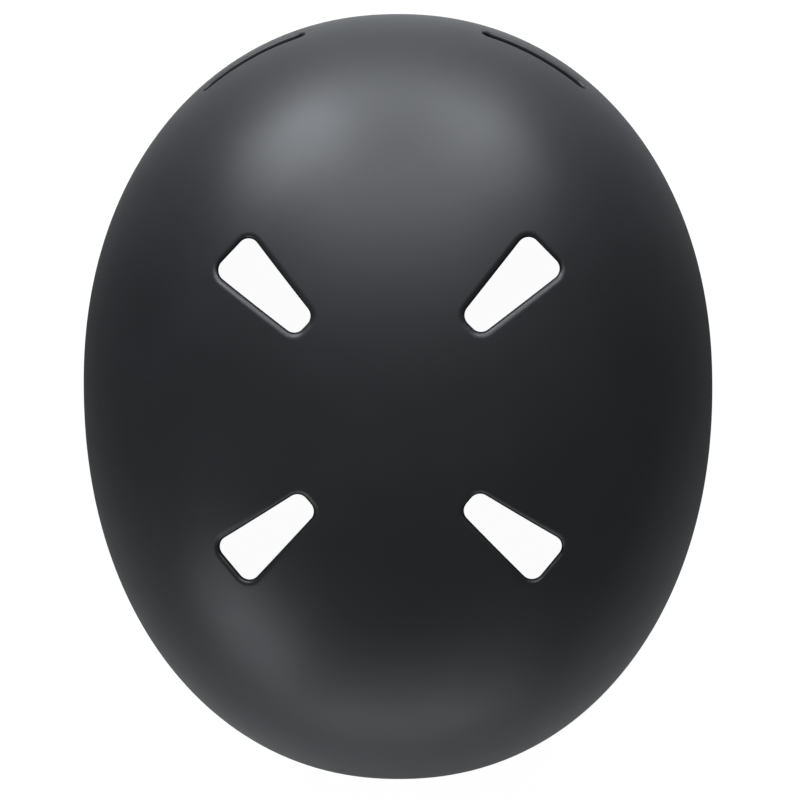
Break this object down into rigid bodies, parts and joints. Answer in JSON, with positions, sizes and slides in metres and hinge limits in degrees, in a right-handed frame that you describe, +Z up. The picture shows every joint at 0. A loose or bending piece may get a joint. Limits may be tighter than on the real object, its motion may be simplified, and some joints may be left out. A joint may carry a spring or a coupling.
{
  "type": "bicycle helmet",
  "caption": "Hard-shell skate-style bicycle helmet with foam liner, pads, dial-adjusted fit ring, strap dividers and side-release chin buckle.",
  "frame": {"origin": "table under the rim, at the middle of the helmet's length and width", "axes": "+X to the wearer's left, +Y to the rear of the head, +Z up to the crown"},
  "size_m": [0.22, 0.268, 0.158],
  "materials": {
    "shell": "matte black hard shell",
    "foam": "moulded bead foam",
    "rubber": "matte rubber",
    "pad_fabric": "knitted fabric over foam",
    "hook_fabric": "hook tape",
    "webbing": "woven polyester webbing",
    "plastic": "fine textured nylon",
    "dial_plastic": "soft-touch moulding",
    "steel": "plain steel"
  },
  "bodies": {
    "helmet": {"outer_shell": "shell", "foam_liner": "foam", "rim_trim": "rubber", "brow_pad": "pad_fabric", "crown_pad": "pad_fabric", "side_pad_left": "pad_fabric", "side_pad_right": "pad_fabric", "rear_pad_left": "pad_fabric", "rear_pad_right": "pad_fabric", "hook_dots": "hook_fabric", "strap_anchors": "plastic", "strap_front_left": "webbing", "strap_front_right": "webbing", "strap_rear_left": "webbing", "strap_rear_right": "webbing", "divider_left": "plastic", "divider_right": "plastic", "chin_strap_left": "webbing", "chin_strap_right": "webbing", "strap_keepers": "rubber", "buckle_socket": "plastic", "buckle_plug": "plastic", "height_anchor": "plastic", "temple_pins": "plastic"},
    "cradle": {"dial_housing": "plastic", "housing_cover": "plastic", "cover_screws": "steel", "height_ladder": "plastic", "temple_guide_left": "plastic", "temple_guide_right": "plastic", "nape_pad": "pad_fabric", "click_spring": "steel"},
    "dial": {"dial": "dial_plastic", "dial_screw": "steel", "pinion": "steel"},
    "left_band": {"band_left": "plastic"},
    "right_band": {"band_right": "plastic"},
    "rear_prong": {"prong_rear": "plastic"},
    "front_prong": {"prong_front": "plastic"},
    "left_lever": {"divider_lever_left": "plastic"},
    "right_lever": {"divider_lever_right": "plastic"}
  },
  "joints": [
    {"name": "cradle_pitch", "type": "hinge", "parent": "helmet", "child": "cradle", "pos_m": [0, 0.01271, 0.041], "axis": [-1, 0, 0], "range_deg": [0, 14]},
    {"name": "dial_turn", "type": "hinge", "parent": "cradle", "child": "dial", "pos_m": [0, 0.01271, 0.041], "axis": [0, -0.9703, 0.2419], "range_deg": [0, 269]},
    {"name": "left_band_slide", "type": "hinge", "parent": "cradle", "child": "left_band", "pos_m": [0, 0.01271, 0.041], "axis": [0, 0.2419, 0.9703], "range_deg": [0, 13.78]},
    {"name": "right_band_slide", "type": "hinge", "parent": "cradle", "child": "right_band", "pos_m": [0, 0.01271, 0.041], "axis": [0, 0.2419, 0.9703], "range_deg": [-13.46, 0]},
    {"name": "rear_prong_squeeze", "type": "hinge", "parent": "helmet", "child": "rear_prong", "pos_m": [-0.0109, -0.00049, 0.0053], "axis": [0, 0, -1], "range_deg": [0, 10], "stiffness_Nm_per_rad": 0.6},
    {"name": "front_prong_squeeze", "type": "hinge", "parent": "helmet", "child": "front_prong", "pos_m": [-0.0109, -0.01549, 0.0053], "axis": [0, 0, 1], "range_deg": [0, 10], "stiffness_Nm_per_rad": 0.6},
    {"name": "left_lever_lift", "type": "hinge", "parent": "helmet", "child": "left_lever", "pos_m": [0.0532, -0.00799, 0.0061], "axis": [0, -1, 0], "range_deg": [0, 75]},
    {"name": "right_lever_lift", "type": "hinge", "parent": "helmet", "child": "right_lever", "pos_m": [-0.0532, -0.00799, 0.0061], "axis": [0, 1, 0], "range_deg": [0, 75]}
  ],
  "couplings": [
    {"joint": "left_band_slide", "follows": "dial_turn", "ratio": 0.051055},
    {"joint": "right_band_slide", "follows": "dial_turn", "ratio": -0.049846}
  ]
}
